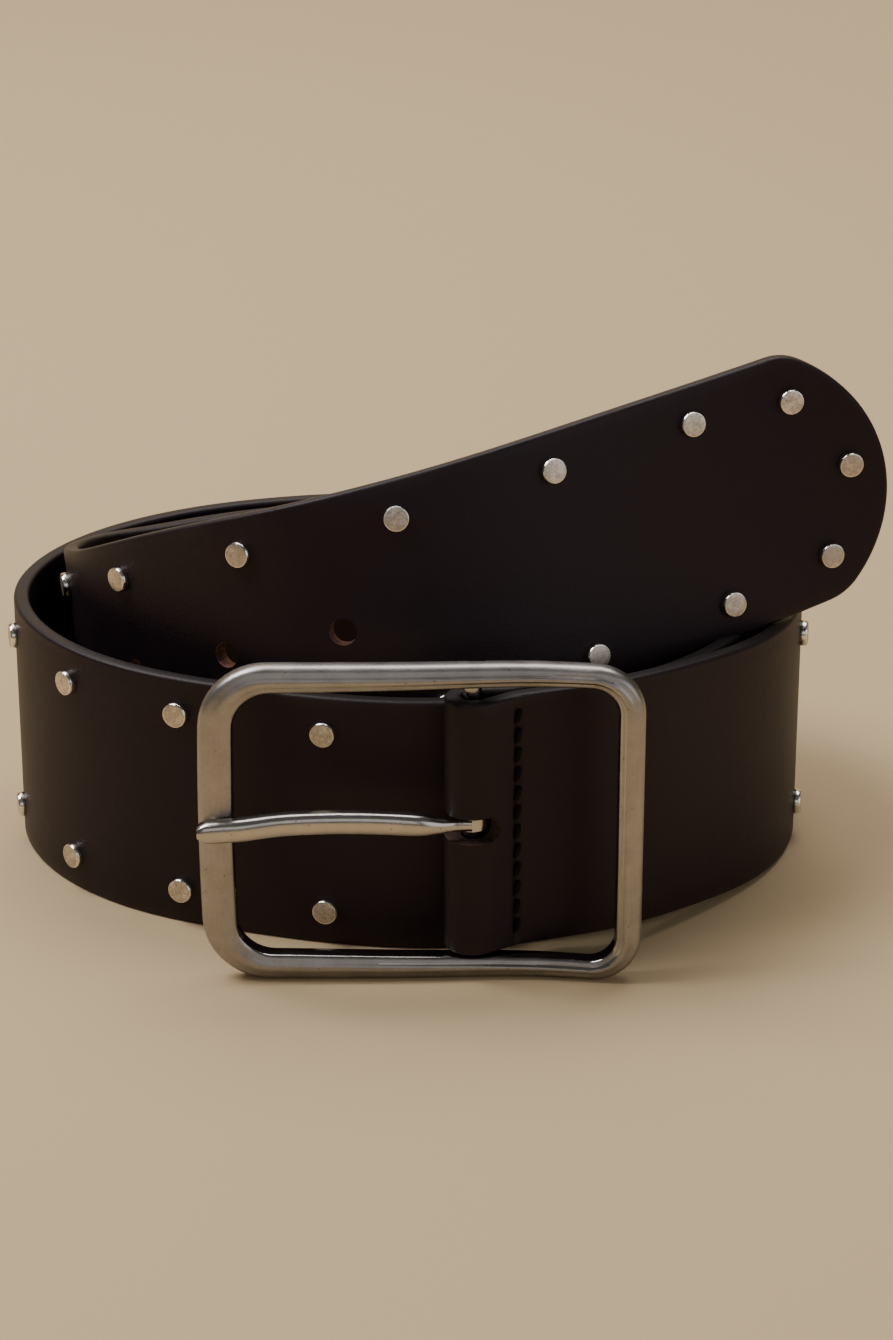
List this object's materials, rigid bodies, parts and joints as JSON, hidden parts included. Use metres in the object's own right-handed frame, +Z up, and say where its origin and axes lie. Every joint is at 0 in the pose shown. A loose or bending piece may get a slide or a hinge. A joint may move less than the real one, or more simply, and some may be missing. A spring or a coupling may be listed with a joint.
{
  "type": "studded belt",
  "caption": "Wide leather belt, loosely coiled on its edge, with two rows of flat round studs, punched sizing holes and an open rectangular centre-bar buckle.",
  "frame": {"origin": "centre of the bottom of the belt's box, on the surface that it stands on", "axes": "+Z up; -Y towards the viewer, where the buckle and the tail cross the front; +X to the right, the way the tail's tip points"},
  "size_m": [0.1696, 0.1292, 0.1016],
  "materials": {
    "leather": "smooth, satin, very dark brown",
    "frame_nickel": "brushed satin nickel plate",
    "prong_nickel": "brushed satin nickel plate",
    "stud_nickel": "satin nickel plate, slightly tarnished"
  },
  "bodies": {
    "strap": {"strap": "leather", "stud_tip_middle": "stud_nickel", "stud_tip_upper": "stud_nickel", "stud_tip_lower": "stud_nickel", "stud_upper_01": "stud_nickel", "stud_lower_01": "stud_nickel", "stud_upper_02": "stud_nickel", "stud_lower_02": "stud_nickel", "stud_upper_03": "stud_nickel", "stud_lower_03": "stud_nickel", "stud_upper_04": "stud_nickel", "stud_lower_04": "stud_nickel", "stud_upper_05": "stud_nickel", "stud_lower_05": "stud_nickel", "stud_upper_06": "stud_nickel", "stud_lower_06": "stud_nickel", "stud_upper_07": "stud_nickel", "stud_lower_07": "stud_nickel", "stud_upper_08": "stud_nickel", "stud_lower_08": "stud_nickel", "stud_upper_09": "stud_nickel", "stud_lower_09": "stud_nickel", "stud_upper_10": "stud_nickel", "stud_lower_10": "stud_nickel", "stud_upper_11": "stud_nickel", "stud_lower_11": "stud_nickel", "stud_upper_12": "stud_nickel", "stud_lower_12": "stud_nickel", "stud_upper_13": "stud_nickel", "stud_lower_13": "stud_nickel", "stud_upper_14": "stud_nickel", "stud_lower_14": "stud_nickel", "stud_upper_15": "stud_nickel", "stud_lower_15": "stud_nickel", "stud_upper_16": "stud_nickel", "stud_lower_16": "stud_nickel", "stud_upper_17": "stud_nickel", "stud_lower_17": "stud_nickel", "stud_upper_18": "stud_nickel", "stud_lower_18": "stud_nickel", "stud_upper_19": "stud_nickel", "stud_lower_19": "stud_nickel", "stud_upper_20": "stud_nickel", "stud_lower_20": "stud_nickel", "stud_upper_21": "stud_nickel", "stud_lower_21": "stud_nickel", "stud_upper_22": "stud_nickel", "stud_lower_22": "stud_nickel", "stud_upper_23": "stud_nickel", "stud_lower_23": "stud_nickel", "stud_upper_24": "stud_nickel", "stud_lower_24": "stud_nickel", "stud_upper_25": "stud_nickel", "stud_lower_25": "stud_nickel", "stud_upper_26": "stud_nickel", "stud_lower_26": "stud_nickel"},
    "buckle": {"buckle_frame": "frame_nickel"},
    "prong": {"prong": "prong_nickel"}
  },
  "joints": [
    {"name": "buckle_hinge", "type": "hinge", "parent": "strap", "child": "buckle", "pos_m": [0.00566, -0.05589, 0.031], "axis": [0, 0, 1], "range_deg": [-12, 12]},
    {"name": "prong_hinge", "type": "hinge", "parent": "buckle", "child": "prong", "pos_m": [0.00566, -0.05589, 0.031], "axis": [0, 0, 1], "range_deg": [0, 75]}
  ]
}
